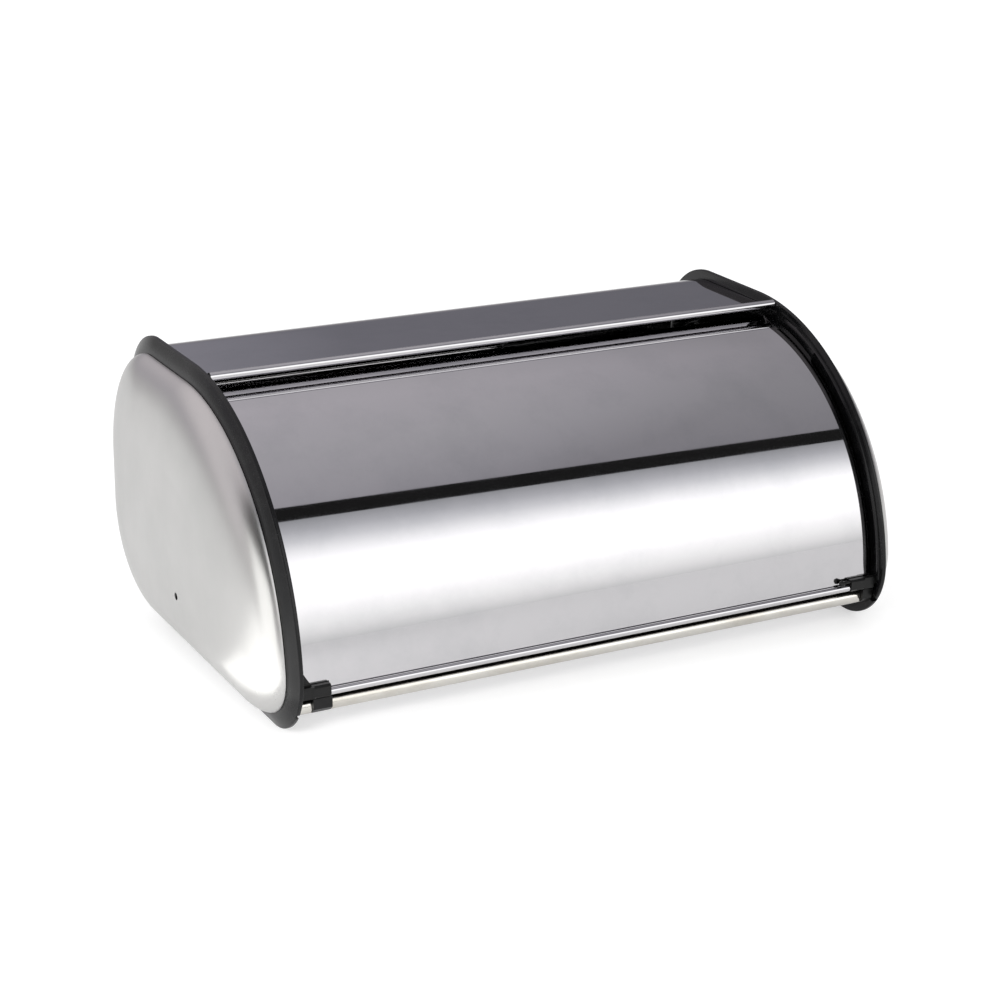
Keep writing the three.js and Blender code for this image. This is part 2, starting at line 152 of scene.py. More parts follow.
def strip(line, thickness):  # closed profile of a sheet that follows a line of points
    left, right = [], []
    for i, p in enumerate(line):
        before = line[max(i - 1, 0)]
        after = line[min(i + 1, len(line) - 1)]
        along = Vector((after[0] - before[0], after[1] - before[1])).normalized() * thickness / 2
        left.append((p[0] - along.y, p[1] + along.x))
        right.append((p[0] + along.y, p[1] - along.x))
    return left + right[::-1]


def rod(bm, radius, y, z, lowX, highX, edge=0.4 * mm, count=64):  # along X, with rounded ends
    turns = [math.pi / 2 * i / 4 for i in range(5)]
    ends = [(edge * (1 - math.sin(a)), radius - edge * (1 - math.cos(a))) for a in turns]
    stations = [(lowX + along, r) for along, r in reversed(ends)] + [(highX - along, r) for along, r in ends]
    loft(bm, [(x, arc(y, z, r, 0, 360, count)[:-1]) for x, r in stations])


def trackBar(name, radius, width, fromAngle, toAngle, lowX, highX):  # curved bar, angles above the front
    low = 180 - fromAngle
    high = 180 - toAngle

    def roundEnd(angle, turn):
        y = radius * math.cos(math.radians(angle))
        z = radius * math.sin(math.radians(angle))
        return arc(y, z, width / 2, angle + turn, angle + turn + 180, 16)[1:-1]

    points = arc(0, 0, radius + width / 2, high, low, 90) + roundEnd(low, 0)
    points += arc(0, 0, radius - width / 2, low, high, 90) + roundEnd(high, 180)
    return drawnOut(name, points, lowX, highX)


def boxPiece(name, low, high):
    points = [(low[1], low[2]), (high[1], low[2]), (high[1], high[2]), (low[1], high[2])]
    return drawnOut(name, points, low[0], high[0])


def applyModifiers(piece):
    evaluated = piece.evaluated_get(bpy.context.evaluated_depsgraph_get())
    mesh = bpy.data.meshes.new_from_object(evaluated)
    piece.modifiers.clear()
    piece.data = mesh


def combine(piece, tools, operation):
    for tool in tools:
        modifier = piece.modifiers.new(operation.lower(), "BOOLEAN")
        modifier.operation = operation
        modifier.solver = "EXACT"
        modifier.object = tool
    applyModifiers(piece)
    for tool in tools:
        bpy.data.objects.remove(tool)


def softenEdges(piece, width, segments=2, angle=40):
    modifier = piece.modifiers.new("edges", "BEVEL")
    modifier.width = width
    modifier.segments = segments
    modifier.limit_method = "ANGLE"
    modifier.angle_limit = math.radians(angle)


def mirrored(piece, name):
    mesh = piece.data.copy()
    mesh.name = name
    mesh.transform(Matrix.Scale(-1, 4, (1, 0, 0)))
    mesh.flip_normals()
    return addObject(name, mesh)


def place(piece, body, slot, node):  # each slot has one finish
    piece.data.materials.clear()
    piece.data.materials.append(finishes[slot])
    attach(piece, body)
    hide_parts(node)


class Field:  # a socket that can stand in a sum
    def __init__(self, graph, socket):
        self.graph = graph
        self.socket = socket

    def math(self, operation, first, second):
        return self.graph.add("Math", {"operation": operation}, {0: first, 1: second})

    def __add__(self, other):
        return self.math("ADD", self, other)

    def __sub__(self, other):
        return self.math("SUBTRACT", self, other)

    def __mul__(self, other):
        return self.math("MULTIPLY", self, other)

    def __rsub__(self, other):
        return self.math("SUBTRACT", other, self)

    __radd__ = __add__
    __rmul__ = __mul__


class Graph:  # of one material or world
    def __init__(self, tree):
        tree.nodes.clear()
        self.tree = tree

    def add(self, kind, settings=None, inputs=None, output=0):
        node = self.tree.nodes.new("ShaderNode" + kind)
        for key, value in (settings or {}).items():
            if key == "stops":
                self.setStops(node.color_ramp.elements, value)
            else:
                setattr(node, key, value)
        for key, value in (inputs or {}).items():
            if isinstance(value, Field):
                self.tree.links.new(value.socket, node.inputs[key])
            else:
                node.inputs[key].default_value = value
        return Field(self, node.outputs[output]) if node.outputs else node

    def setStops(self, elements, stops):
        while len(elements) < len(stops):
            elements.new(1)
        for element, (position, color) in zip(elements, stops):
            element.position = position
            element.color = (*color, 1)

    def mix(self, factor, a, b):  # of two colours
        settings = {"data_type": "RGBA"}
        return self.add("Mix", settings, {0: factor, 6: a, 7: b}, output=2)

    def stretched(self, scale):  # object coordinates with a scale for each direction
        position = self.add("TexCoord", output=3)
        return self.add("VectorMath", {"operation": "MULTIPLY"}, {0: position, 1: scale})

    def noise(self, scale, detail=3, rough=0.5, stretch=(1, 1, 1)):
        inputs = {"Vector": self.stretched(stretch), "Scale": scale, "Detail": detail, "Roughness": rough}
        return self.add("TexNoise", {}, inputs)

    def range(self, value, low, high, toLow, toHigh):
        inputs = {"Value": value, "From Min": low, "From Max": high, "To Min": toLow, "To Max": toHigh}
        return self.add("MapRange", {}, inputs)

    def bump(self, height, distance, strength=1, normal=None):
        inputs = {"Height": height, "Distance": distance, "Strength": strength}
        if normal:
            inputs["Normal"] = normal
        return self.add("Bump", {}, inputs)

    def finish(self, **inputs):
        names = {key.replace("_", " "): value for key, value in inputs.items()}
        shader = self.add("BsdfPrincipled", {}, names)
        self.add("OutputMaterial", {}, {"Surface": shader})


def newMaterial(name):
    material = bpy.data.materials.new(name)
    material.use_nodes = True
    return material, Graph(material.node_tree)


satinLook = {
    "bright": (0.61, 0.605, 0.595, 1),
    "dull": (0.56, 0.56, 0.55, 1),
    "roughness": (0.27, 0.36),
    "brush": 900,  # of the fine lines, which run up and down
    "brushStretch": (1, 1, 0.05),
    "brushDepth": 0.004 * mm,
    "dimples": 2600,
    "dimpleDepth": 0.003 * mm,
}


def satinSteel():
    look = satinLook
    material, g = newMaterial("satin_steel")
    lines = g.noise(look["brush"], 3, 0.6, look["brushStretch"])
    clouds = g.noise(14, 4, 0.55)
    dimples = g.noise(look["dimples"], 2)
    color = g.mix(g.range(clouds, 0.35, 0.7, 0, 1), look["bright"], look["dull"])
    low, high = look["roughness"]
    roughness = g.range(clouds * 0.6 + lines * 0.4, 0.3, 0.7, low, high)
    normal = g.bump(lines, look["brushDepth"])
    normal = g.bump(dimples, look["dimpleDepth"], 1, normal)
    g.finish(Base_Color=color, Metallic=1.0, Roughness=roughness, Normal=normal)
    return material


mirrorLook = {
    "bright": (0.60, 0.59, 0.605, 1),
    "dull": (0.55, 0.545, 0.56, 1),
    "roughness": (0.03, 0.065),
    "rollLines": 700,  # left by rolling, along the width
    "rollStretch": (0.04, 1, 1),
    "rollDepth": 0.0006 * mm,
    "wave": 9,
    "waveDepth": 0.02 * mm,
}


def mirrorSteel():
    look = mirrorLook
    material, g = newMaterial("polished_steel")
    lines = g.noise(look["rollLines"], 2, 0.5, look["rollStretch"])
    wave = g.noise(look["wave"], 1, 0.4)
    smudge = g.noise(26, 5, 0.65)
    low, high = look["roughness"]
    film = g.range(smudge, 0.45, 0.75, 0, 1)
    color = g.mix(film, look["bright"], look["dull"])
    roughness = g.range(smudge * 0.7 + lines * 0.3, 0.4, 0.75, low, high)
    normal = g.bump(wave, look["waveDepth"])
    normal = g.bump(lines, look["rollDepth"], 1, normal)
    g.finish(Base_Color=color, Metallic=1.0, Roughness=roughness, Normal=normal)
    return material


railLook = {
    "bright": (0.68, 0.66, 0.62, 1),
    "dull": (0.56, 0.53, 0.48, 1),
    "roughness": (0.10, 0.22),
    "drawLines": 1100,  # left by drawing the tube
    "drawStretch": (0.02, 1, 1),
    "drawDepth": 0.0015 * mm,
    "sheen": (2.7 * mm, 3.4 * mm),  # heights over the middle where the painted shade ends and the bright crest begins
    # painted shade: heights and colours of the darkening on the tube's lower side, with a painted dark line in it
    "flank": (-1 * mm, 2.7 * mm),
    "flankTones": [
        (0.0, (0.26, 0.245, 0.225)),
        (0.26, (0.22, 0.21, 0.19)),
        (0.46, (0.055, 0.05, 0.047)),
        (0.66, (0.09, 0.085, 0.08)),
        (0.84, (0.18, 0.172, 0.16)),
        (1.0, (0.36, 0.35, 0.33)),
    ],
}


def railSteel():
    look = railLook
    material, g = newMaterial("bright_tube")
    lines = g.noise(look["drawLines"], 3, 0.6, look["drawStretch"])
    spots = g.noise(60, 4, 0.6, (0.4, 1, 1))
    low, high = look["roughness"]
    color = g.mix(g.range(spots, 0.45, 0.7, 0, 1), look["bright"], look["dull"])
    # Below the crest the colour darkens with height: painted shade under the tube, with a painted dark line across
    # it.
    middle = (railHigh.z + railLow.z) / 2 - axisZ
    height = g.add("SeparateXYZ", {}, {0: g.add("TexCoord", output=3)}, output=2) - middle
    flank = g.add("ValToRGB", {"stops": look["flankTones"]}, {0: g.range(height, *look["flank"], 0, 1)})
    color = g.mix(g.range(height, *look["sheen"], 0, 1), flank, color)
    roughness = g.range(lines * 0.5 + spots * 0.5, 0.35, 0.7, low, high)
    g.finish(Base_Color=color, Metallic=1.0, Roughness=roughness, Normal=g.bump(lines, look["drawDepth"]))
    return material


framePlastic = {
    "name": "moulded_black",
    "specular": 0.28,
    "dark": (0.004, 0.004, 0.0045, 1),
    "pale": (0.010, 0.010, 0.0105, 1),
    "roughness": (0.20, 0.32),
    "grain": 1500,
    "grainDepth": 0.006 * mm,
}

sliderPlastic = {
    "name": "slider_black",
    "specular": 0.3,
    "dark": (0.004, 0.004, 0.004, 1),
    "pale": (0.012, 0.012, 0.012, 1),
    "roughness": (0.30, 0.42),
    "grain": 2200,
    "grainDepth": 0.006 * mm,
}


def blackPlastic(look):
    material, g = newMaterial(look["name"])
    grain = g.noise(look["grain"], 2, 0.5)
    scuffs = g.noise(45, 6, 0.7)
    low, high = look["roughness"]
    color = g.mix(g.range(scuffs, 0.5, 0.75, 0, 1), look["dark"], look["pale"])
    roughness = g.range(scuffs * 0.7 + grain * 0.3, 0.35, 0.7, low, high)
    normal = g.bump(grain, look["grainDepth"])
    g.finish(Base_Color=color, Roughness=roughness, Specular_IOR_Level=look["specular"], Normal=normal)
    return material


screwLook = {"bright": (0.50, 0.50, 0.51, 1), "dull": (0.36, 0.36, 0.37, 1), "roughness": (0.25, 0.4)}


def screwSteel():
    look = screwLook
    material, g = newMaterial("screw_steel")
    spots = g.noise(500, 4, 0.6)
    color = g.mix(g.range(spots, 0.4, 0.7, 0, 1), look["bright"], look["dull"])
    low, high = look["roughness"]
    g.finish(Base_Color=color, Metallic=1.0, Roughness=g.range(spots, 0.3, 0.7, low, high))
    return material


finishes = {
    "cap": satinSteel(),
    "sheet": mirrorSteel(),
    "rail": railSteel(),
    "frame": blackPlastic(framePlastic),
    "slider": blackPlastic(sliderPlastic),
    "screw": screwSteel(),
}
print("finishes made")


endFrame = {
    "faceX": 193.7 * mm,
    "rim": 2.6 * mm,
    "rimEdge": 0.7 * mm,
    "rimEase": 0.6,  # share of that edge on the outer side
    "bandWidth": 10 * mm,
    "bandSwell": 0.55,  # share of the band's rise that is rounded
    "seatWidth": 3 * mm,
    "seatEdge": 0.5 * mm,
    "plate": 3.3 * mm,
    "plateDraft": 1.5 * mm,
    "trackSetback": 9.3 * mm,
    "trackWidth": 6.4 * mm,
    "trackDepth": 2.2 * mm,
    "trackSpan": (-3.5, 61.2),
    "innerTrackSetback": 15.3 * mm,
    "innerTrackSpan": (73.5, 129.5),
    "ribHeight": 1.2 * mm,
    "ribWidth": 2 * mm,
    "ribOffset": 0.7 * mm,
    "innerRibSpan": (4, 80),
    "outerRibSpan": (2, 78),
    "socketGap": 0.3 * mm,  # round the end of the rail
    "socketDepth": 2 * mm,
    "softEdge": 0.25 * mm,
    "sunk": 1 * mm,  # of ribs and bosses into the plate
}
faceX = endFrame["faceX"]
seatX = frameHigh.x
rail = {
    "radius": (railHigh.z - railLow.z) / 2,
    "y": (railHigh.y + railLow.y) / 2 - axisY,
    "z": (railHigh.z + railLow.z) / 2 - axisZ,
}


def frameBody():
    s = endFrame
    rimX = faceX + s["rim"]
    edge = s["rimEdge"]
    sections = []
    for i in range(5):
        a = math.pi / 2 * i / 4
        sections.append((faceX + edge * (1 - math.cos(a)), outline(edge * (1 - math.sin(a)))))
    for i in range(5):
        a = math.pi / 2 * i / 4
        sections.append((rimX - edge * (1 - math.sin(a)), outline(edge * (1 - math.cos(a)) * s["rimEase"])))
    rise = seatX - rimX
    bandStart = edge * s["rimEase"]
    for i in range(1, 13):
        t = i / 12
        height = (1 - s["bandSwell"]) * t + s["bandSwell"] * math.sin(t * math.pi / 2)
        sections.append((rimX + rise * height, outline(bandStart + (s["bandWidth"] - bandStart) * t)))
    seatEnd = s["bandWidth"] + s["seatWidth"]
    sections.append((seatX, outline(seatEnd - s["seatEdge"])))
    sections.append((seatX - s["seatEdge"], outline(seatEnd)))
    sections.append((faceX + s["plate"], outline(seatEnd + s["plateDraft"])))
    bm = bmesh.new()
    loft(bm, sections)
    return finishMesh("end_frame_shape", bm)


def frameRib(side, span):  # side is 1 over the outer track and -1 under it
    s = endFrame
    offset = s["trackWidth"] / 2 + s["ribOffset"] + s["ribWidth"] / 2
    radius = frontRadius - s["trackSetback"] + side * offset
    return trackBar("rib", radius, s["ribWidth"], *span, faceX - s["ribHeight"], faceX + s["sunk"])


def frameTools():
    s = endFrame
    low = faceX - 4 * s["ribHeight"]
    high = faceX + s["trackDepth"]
    outerRadius = frontRadius - s["trackSetback"]
    innerRadius = frontRadius - s["innerTrackSetback"]
    outer = trackBar("track", outerRadius, s["trackWidth"], *s["trackSpan"], low, high)
    inner = trackBar("track", innerRadius, s["trackWidth"], *s["innerTrackSpan"], low, high)
    bm = bmesh.new()
    rod(bm, rail["radius"] + s["socketGap"], rail["y"], rail["z"], low, faceX + s["socketDepth"])
    return [outer, inner, finishMesh("socket", bm)]


bossShape = {"width": 9 * mm, "length": 12 * mm, "gap": 1.1 * mm}


def screwBosses():  # one round each screw of the right-hand frame
    bosses = []
    for spot in ("front", "rear", "back"):
        low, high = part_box("screw_" + spot + "_right")
        middle = (low + high) / 2 - Vector((0, axisY, axisZ))
        half = bossShape["width"] / 2
        corner = Vector((faceX - bossShape["length"], middle.y - half, middle.z - half))
        far = Vector((faceX + endFrame["sunk"], middle.y + half, middle.z + half))
        if spot == "back":
            far.y = shellHigh.y - axisY - bossShape["gap"]
            corner.y = far.y - bossShape["width"]
        else:
            corner.z = panLow.z - axisZ + bossShape["gap"]
            far.z = corner.z + bossShape["width"]
        bosses.append(boxPiece("boss", corner, far))
    return bosses


def makeFrames():
    body = frameBody()
    ribs = [frameRib(-1, endFrame["innerRibSpan"]), frameRib(1, endFrame["outerRibSpan"])]
    combine(body, ribs + screwBosses(), "UNION")
    combine(body, frameTools(), "DIFFERENCE")
    softenEdges(body, endFrame["softEdge"])
    applyModifiers(body)
    body.name = "frame_right"
    shade(body, 50)
    left = mirrored(body, "frame_left")
    place(body, "box", "frame", "end_frame_right")
    place(left, "box", "frame", "end_frame_left")


makeFrames()
print("end frames made")

endCap = {
    "inset": 10 * mm,
    "thickness": 0.8 * mm,
    "shoulder": {"front": 48 * mm, "top": 46 * mm, "base": 38 * mm, "back": 32 * mm},
    "faceCorner": {"frontFoot": 14 * mm, "rearFoot": 33 * mm, "rearTop": 40 * mm},
    "crown": 1.4 * mm,
    "crownReach": 0.97,  # share of the way to the middle of the face
    "sharpAngle": 50,
    "hole": {"radius": 2.3 * mm, "y": -28 * mm, "z": 23 * mm},
}


def capSection(t, shrink):  # t runs from 0 at the foot to 1 at the flat face
    s = endCap
    inward = 1 - math.cos(t * math.pi / 2)
    foot = outline(s["inset"] + shrink)
    shoulders = {side: s["inset"] + shrink + width for side, width in s["shoulder"].items()}
    face = outline(shoulders, s["faceCorner"])
    depth = capHigh.x - capLow.x - s["crown"] - shrink
    points = [partWay(a, b, inward) for a, b in zip(foot, face)]
    return capLow.x + depth * math.sin(t * math.pi / 2), points


def capCrown(x, points, height):  # rings that close the face with a low crown
    middle = (sum(p[0] for p in points) / len(points), sum(p[1] for p in points) / len(points))
    rings = []
    for i in range(1, 15):
        t = i / 14
        ring = [partWay(p, middle, t * endCap["crownReach"]) for p in points]
        rings.append((x + height * math.sin(t * math.pi / 2), ring))
    return rings


def makeCaps():
    s = endCap
    outer = [capSection(i / 40, 0) for i in range(41)]
    inner = [capSection(i / 16, s["thickness"]) for i in range(17)]
    bm = bmesh.new()
    loft(bm, inner[::-1] + outer + capCrown(*outer[-1], s["crown"]))
    cap = finishMesh("cap_right", bm, s["sharpAngle"])
    bm = bmesh.new()
    hole = s["hole"]
    rod(bm, hole["radius"], hole["y"], hole["z"], capLow.x, capHigh.x + 2 * mm, count=40)
    combine(cap, [finishMesh("hole", bm)], "DIFFERENCE")
    shade(cap, s["sharpAngle"])
    left = mirrored(cap, "cap_left")
    place(cap, "box", "cap", "end_cap_right")
    place(left, "box", "cap", "end_cap_left")


makeCaps()
print("end caps made")

sheetMetal = {
    "inset": 6.2 * mm,
    "thickness": 0.7 * mm,
    "lap": 20 * mm,  # of the shell under the floor
    "lapBack": 4 * mm,
    "gap": 0.3 * mm,
}

lip = {  # rolled front edge of the top
    "radius": 2.6 * mm,
    "y": -20.5 * mm,
    "run": 9 * mm,
    "rise": 2.9 * mm,
    "curl": 300,
    "plug": 6 * mm,
    "plugEdge": 1.2 * mm,
}


def smooth(t):
    return t * t * (3 - 2 * t)


def upperShell():
    s = sheetMetal
    o = outlineShape
    half = s["thickness"] / 2
    inset = s["inset"] + half
    backFoot = o["backReach"] - o["rearFoot"]
    backTop = o["backReach"] - o["rearTop"]
    top = frontRadius - inset
    line = [(backFoot - s["lap"], inset - o["baseDrop"])]
    line += between(line[0], (backFoot, inset - o["baseDrop"]), 6)
    line += arc(backFoot, o["rearFoot"] - o["baseDrop"], o["rearFoot"] - inset, 270, 360, 48)
    head = arc(backTop, frontRadius - o["rearTop"], o["rearTop"] - inset, 0, 90, 48)
    line += between(line[-1], head[0], 8) + head
    bendStart = (lip["y"] + lip["run"], top)
    line += between(head[-1], bendStart, 12) + [bendStart]
    rollTop = frontRadius - s["inset"] + lip["rise"] + lip["radius"] - half
    for i in range(1, 16):
        t = i / 16
        line.append((bendStart[0] - lip["run"] * t, top + (rollTop - top) * smooth(t)))
    centreZ = frontRadius - s["inset"] + lip["rise"]
    line += arc(lip["y"], centreZ, lip["radius"] - half, 90, 90 + lip["curl"], 40)
    shell = drawnOut("shell", strip(line, s["thickness"]), shellLow.x, shellHigh.x)
    bm = bmesh.new()
    bm.from_mesh(shell.data)
    plugRadius = lip["radius"] - s["thickness"]
    for low, high in ((shellLow.x, shellLow.x + lip["plug"]), (shellHigh.x - lip["plug"], shellHigh.x)):
        rod(bm, plugRadius, lip["y"], centreZ, low, high, edge=lip["plugEdge"], count=32)
    bm.to_mesh(shell.data)
    bm.free()
    shade(shell)
    return shell


def floorPan():
    s = sheetMetal
    o = outlineShape
    inset = s["inset"] + 1.5 * s["thickness"] + s["gap"]
    radius = o["frontFoot"] - inset
    footZ = o["frontFoot"] - o["baseDrop"]
    footY = -math.sqrt((frontRadius - o["frontFoot"]) ** 2 - footZ ** 2)
    toRail = Vector((rail["y"] - footY, rail["z"] - footZ))  # the front bend ends where it meets the rail
    clear = rail["radius"] + s["gap"] + s["thickness"]
    share = (radius ** 2 + toRail.length_squared - clear ** 2) / (2 * radius * toRail.length)
    end = math.degrees(math.atan2(toRail.y, toRail.x) % (2 * math.pi) + math.acos(share))
    line = arc(footY, footZ, radius, end, 270, 30)
    rearEnd = (o["backReach"] - o["rearFoot"] - s["lapBack"], inset - o["baseDrop"])
    line += between(line[-1], rearEnd, 16) + [rearEnd]
    return drawnOut("floor", strip(line, s["thickness"]), panLow.x, panHigh.x)


def frontRail():
    bm = bmesh.new()
    rod(bm, rail["radius"], rail["y"], rail["z"], railLow.x, railHigh.x, edge=0.6 * mm, count=96)
    return finishMesh("rail_tube", bm)


place(upperShell(), "box", "sheet", "upper_shell")
place(floorPan(), "box", "sheet", "floor_pan")
place(frontRail(), "box", "rail", "front_rail")
print("shell, floor and rail made")

lid = {
    "setback": 10.6 * mm,
    "thickness": 0.7 * mm,
    "topAngle": 83,
    "topHem": {"radius": 2.2 * mm, "proud": 0.1 * mm, "run": 0.6, "curl": 300},
    "lowHem": {"radius": 2.1 * mm, "rise": 0.44 * mm, "curl": 300},
    "hemSteps": 12,
    "notch": {  # in each lower corner, over the stop
        "gap": 0.4 * mm,
        "width": 18.7 * mm,
        "reach": 10.8 * mm,
        "drop": 7 * mm,
        "overStop": 7.9 * mm,
    },
}
lidRadius = frontRadius - lid["setback"]


def lidSheet():
    half = lid["thickness"] / 2
    top, low = lid["topHem"], lid["lowHem"]
    lowY = -(lidRadius + low["radius"] - lid["thickness"])
    hemRadius = low["radius"] - half
    line = arc(lowY, low["rise"], hemRadius, -low["curl"], 0, 40)
    startAngle = 180 - math.degrees(math.asin(low["rise"] / lidRadius))
    endAngle = 180 - lid["topAngle"]
    reach = lidRadius - half
    steps = 130
    angles = [startAngle + (endAngle + top["run"] - startAngle) * i / steps for i in range(1, steps + 1)]
    angles += [endAngle + top["run"] * (1 - i / lid["hemSteps"]) for i in range(1, lid["hemSteps"] + 1)]
    for angle in angles:
        rise = smooth(min(1, max(0, 1 - (angle - endAngle) / top["run"])))
        radius = reach + rise * top["proud"]
        line.append((radius * math.cos(math.radians(angle)), radius * math.sin(math.radians(angle))))
    centre = lidRadius - top["radius"] + top["proud"]
    centreY = centre * math.cos(math.radians(endAngle))
    centreZ = centre * math.sin(math.radians(endAngle))
    line += arc(centreY, centreZ, top["radius"] - half, endAngle, endAngle - top["curl"], 40)[1:]
    sheet = drawnOut("lid", strip(line, lid["thickness"]), lidLow.x, lidHigh.x)
    cut = lid["notch"]
    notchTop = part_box("lid_stop_right")[1].z - axisZ + cut["overStop"] + cut["gap"]
    corner = Vector((faceX - cut["width"] - cut["gap"], -lidRadius - cut["reach"], -cut["drop"]))
    notch = boxPiece("notch", corner, Vector((faceX, cut["reach"] - lidRadius, notchTop)))
    combine(sheet, [notch, mirrored(notch, "notch_left")], "DIFFERENCE")
    shade(sheet)
    return sheet


place(lidSheet(), "lid", "sheet", "lid_sheet")
print("lid made")

# These keep the shape they have in the frame and only get softer edges, this wide.
smallPieces = {"lid_slider": 0.5 * mm, "lid_rear_slider": 0.4 * mm, "lid_stop": 0.6 * mm, "screw": 0.2 * mm}
slotOf = {entry["node"]: entry["material_slot"] for entry in frame["record"]["subparts"]}
for name, node in frame["nodes"].items():
    width = next((w for start, w in smallPieces.items() if name.startswith(start)), None)
    node.data.materials.clear()
    node.data.materials.append(finishes[slotOf[name]])
    if width:
        softenEdges(node, width, 3)
print("small pieces finished")


studio = {
    "turn": -11.2,  # of the panels, in degrees
    "ceiling": {
        "height": 1.65,
        "out": 0.717,
        "back": 8,
        "side": 10,
        "depthSpan": (-4.6, 0.717),
        "sideSpan": (-1.8, 4),
        "strength": 1.62,
    },
    "card": {"side": 9, "height": 1.65, "rows": [  # out to the front, height, left-hand end
        (0.954, 1.65, 0.1),
        (1.38, 1.35, 0.2),
        (1.7, 0.9, 0.4),
        (1.93, 0.4, 0.5),
        (2.0, 0.002, 0.6),
    ]},
    "patch": {  # brighter floor to the left of the front
        "x": (-0.95, -0.235),
        "y": (-0.75, -0.02),
        "height": 1 * mm,
        "tone": (1.9, 1.9, 1.88, 1),
    },
    "sideCard": {
        "ends": [(-0.95, -0.22), (-0.52, -0.8)],
        "height": (0.002, 0.5),
        "tone": (1.6, 1.6, 1.58, 1),
    },
    "walls": {
        "levels": (0.0, 0.47, 0.53, 0.66, 0.76),  # from straight down to straight up
        "ground": (0.9, 0.9, 0.9),
        "left": [(0.55, 0.54, 0.54), (0.7, 0.68, 0.67)],
        "right": [(0.28, 0.27, 0.29), (0.28, 0.27, 0.29)],
        "overhead": (0.015, 0.015, 0.015),
        "blend": (-0.4, 0.4),
    },
    "skylight": 1.0,
    "floor": (0.56, 0.56, 0.56, 1),
    "floorSize": 16,
    "floorGlow": (0.33, 0.55),  # on its own, and as the camera sees it
    "fill": {"position": (-0.55, -0.42, 0.3), "target": (-0.44, -0.24, 0), "size": 0.15, "power": 2.2},
}


def emitter(name, grid, paint):  # a sheet of light seen only in reflections
    columns = len(grid[0])
    mesh = bpy.data.meshes.new(name)
    points = [p for row in grid for p in row]
    faces = []
    for r in range(len(grid) - 1):
        for c in range(columns - 1):
            a = r * columns + c
            faces.append((a, a + 1, a + columns + 1, a + columns))
    mesh.from_pydata(points, [], faces)
    mesh.update()
    panel = addObject(name, mesh)
    panel.visible_camera = False
    panel.visible_diffuse = False
    panel.visible_shadow = False
    material, g = newMaterial(name)
    position = g.add("TexCoord", output=3)
    light = g.add("Emission", {}, {"Color": paint(g, position), "Strength": 1.0})
    g.add("OutputMaterial", {}, {"Surface": light})
    mesh.materials.append(material)


up = Vector((0, 0, 1))


def turned(degrees):  # directions out to the front and across to the right, turned about Z
    a = math.radians(degrees)
    return Vector((math.sin(a), -math.cos(a), 0)), Vector((math.cos(a), math.sin(a), 0))


outward, across = turned(studio["turn"])


def stagePoint(out, side, height):
    return outward * out + across * side + up * height


def ceilingPanel():
    c = studio["ceiling"]
    ends = (-c["side"], c["side"])
    grid = [[stagePoint(out, side, c["height"]) for side in ends] for out in (c["out"], -c["back"])]

    def paint(g, position):  # tones from back to front, times tones from left to right
        out = g.add("VectorMath", {"operation": "DOT_PRODUCT"}, {0: position, 1: outward}, output=1)
        side = g.add("VectorMath", {"operation": "DOT_PRODUCT"}, {0: position, 1: across}, output=1)
        depthStops = [
            (0.0, (0.27, 0.265, 0.30)),
            (0.2, (0.28, 0.27, 0.30)),
            (0.5, (0.50, 0.485, 0.51)),
            (0.68, (0.54, 0.52, 0.55)),
            (0.84, (0.50, 0.49, 0.515)),
            (1.0, (0.44, 0.43, 0.46)),
        ]
        sideStops = [
            (0.0, (1.0, 0.97, 0.95)),
            (0.26, (1.0, 0.96, 0.94)),
            (0.35, (0.70, 0.70, 0.70)),
            (0.42, (0.64, 0.64, 0.64)),
            (0.455, (0.57, 0.57, 0.575)),
            (0.5, (0.46, 0.46, 0.465)),
            (0.72, (0.42, 0.42, 0.42)),
            (0.85, (0.32, 0.32, 0.33)),
            (1.0, (0.2, 0.2, 0.2)),
        ]
        depth = g.add("ValToRGB", {"stops": depthStops}, {0: g.range(out, *c["depthSpan"], 0, 1)})
        width = g.add("ValToRGB", {"stops": sideStops}, {0: g.range(side, *c["sideSpan"], 0, 1)})
        bright = g.add("VectorMath", {"operation": "SCALE"}, {0: width, "Scale": c["strength"]})
        return g.add("VectorMath", {"operation": "MULTIPLY"}, {0: depth, 1: bright})

    emitter("ceiling", grid, paint)


def frontCard():
    c = studio["card"]
    grid = [[stagePoint(out, side, height) for side in (left, c["side"])] for out, height, left in c["rows"]]

    def paint(g, position):
        height = g.add("SeparateXYZ", {}, {0: position}, output=2)
        stops = [
            (0.0, (0.92, 0.93, 0.92)),
            (0.1, (1.2, 1.2, 1.19)),
            (0.2, (1.41, 1.42, 1.4)),
            (0.3, (1.58, 1.58, 1.57)),
            (0.4, (1.8, 1.8, 1.79)),
            (0.66, (1.85, 1.85, 1.85)),
            (0.74, (1.75, 1.75, 1.76)),
            (0.82, (1.4, 1.41, 1.42)),
            (0.88, (0.98, 0.99, 1.02)),
            (0.94, (0.66, 0.67, 0.70)),
            (1.0, (0.44, 0.45, 0.47)),
        ]
        return g.add("ValToRGB", {"stops": stops}, {0: g.range(height, 0, c["height"], 0, 1)})

    emitter("front_card", grid, paint)


def leftSide():  # the cap at the left sees these two
    patch, card = studio["patch"], studio["sideCard"]
    grid = [[Vector((x, y, patch["height"])) for x in patch["x"]] for y in patch["y"]]
    emitter("side_patch", grid, lambda g, position: patch["tone"])
    grid = [[Vector((x, y, height)) for x, y in card["ends"]] for height in card["height"]]
    emitter("side_card", grid, lambda g, position: card["tone"])


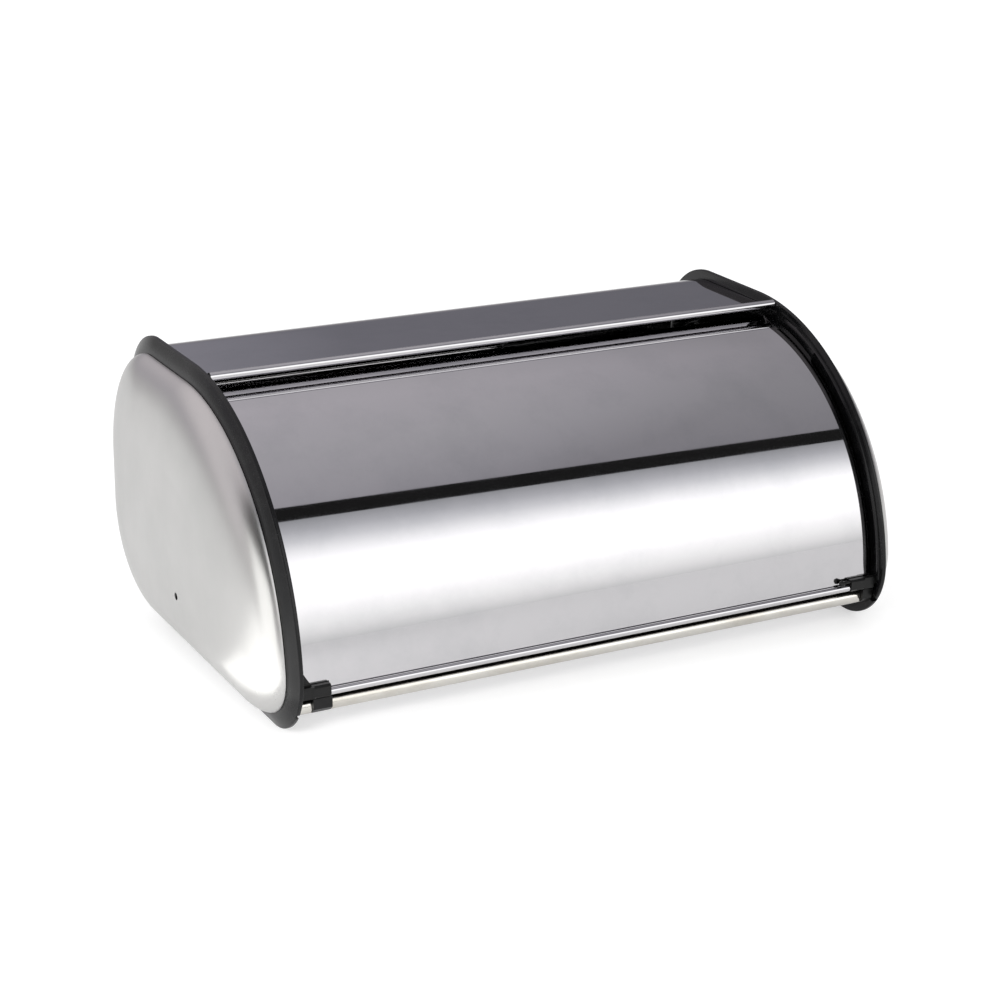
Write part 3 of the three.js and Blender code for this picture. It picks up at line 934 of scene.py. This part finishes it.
def surround():
    world = bpy.data.worlds.new("surround")
    bpy.context.scene.world = world
    world.use_nodes = True
    g = Graph(world.node_tree)
    look = studio["walls"]
    direction = g.add("TexCoord", output=0)
    height = g.add("SeparateXYZ", {}, {0: direction}, output=2)
    side = g.add("SeparateXYZ", {}, {0: direction}, output=0)
    level = g.range(height, -1, 1, 0, 1)

    def wallOn(name):
        tones = [look["ground"], look["ground"], *look[name], look["overhead"]]
        return g.add("ValToRGB", {"stops": list(zip(look["levels"], tones))}, {0: level})

    wall = g.mix(g.range(side, *look["blend"], 0, 1), wallOn("left"), wallOn("right"))
    glossy = g.add("LightPath", output="Is Glossy Ray")
    sky = studio["skylight"]
    color = g.mix(glossy, (sky, sky, sky, 1), wall)
    light = g.add("Background", {}, {"Color": color, "Strength": 1.0})
    g.add("OutputWorld", {}, {"Surface": light})


def floorPlane():
    bm = bmesh.new()
    bmesh.ops.create_grid(bm, x_segments=8, y_segments=8, size=studio["floorSize"] / 2)
    mesh = bpy.data.meshes.new("floor_sheet")
    bm.to_mesh(mesh)
    bm.free()
    sheet = addObject("floor_sheet", mesh)
    material, g = newMaterial("pale_paper")
    seen = g.add("LightPath", output="Is Camera Ray")
    own, camera = studio["floorGlow"]
    glow = g.mix(seen, (own, own, own, 1), (camera, camera, camera, 1))
    g.finish(Base_Color=studio["floor"], Roughness=0.9, Emission_Color=glow, Emission_Strength=1.0)
    mesh.materials.append(material)


def fillLight():
    look = studio["fill"]
    data = bpy.data.lights.new("left_fill", "AREA")
    data.shape = "SQUARE"
    data.size = look["size"]
    data.energy = look["power"]
    light = addObject("left_fill", data)
    light.location = look["position"]
    aim = Vector(look["target"]) - Vector(look["position"])
    light.rotation_euler = aim.to_track_quat("-Z", "Y").to_euler()
    light.visible_glossy = False
    light.visible_camera = False


ceilingPanel()
frontCard()
leftSide()
surround()
floorPlane()
fillLight()

view = {
    "position": (-0.6645, -1.2432, 0.5723),
    "azimuth": -28.895,
    "elevation": 18.430,
    "roll": 0.976,
    "lens": 86.6,
    "sensor": 36,
    "shift": (-0.0384, -0.0443),
    "nearClip": 10 * mm,
}


def makeCamera():
    data = bpy.data.cameras.new("view")
    data.lens = view["lens"]
    data.sensor_width = view["sensor"]
    data.shift_x, data.shift_y = view["shift"]
    data.clip_start = view["nearClip"]
    camera = addObject("view", data)
    elevation = math.radians(view["elevation"])
    roll = math.radians(view["roll"])
    towards, level = turned(view["azimuth"])
    back = towards * math.cos(elevation) + up * math.sin(elevation)
    top = back.cross(level)
    right = level * math.cos(roll) + top * math.sin(roll)
    top = top * math.cos(roll) - level * math.sin(roll)
    axes = Matrix((right, top, back)).transposed().to_4x4()
    camera.matrix_world = Matrix.Translation(view["position"]) @ axes
    bpy.context.scene.camera = camera


makeCamera()
bpy.context.scene.view_settings.view_transform = "Standard"
print("studio ready")
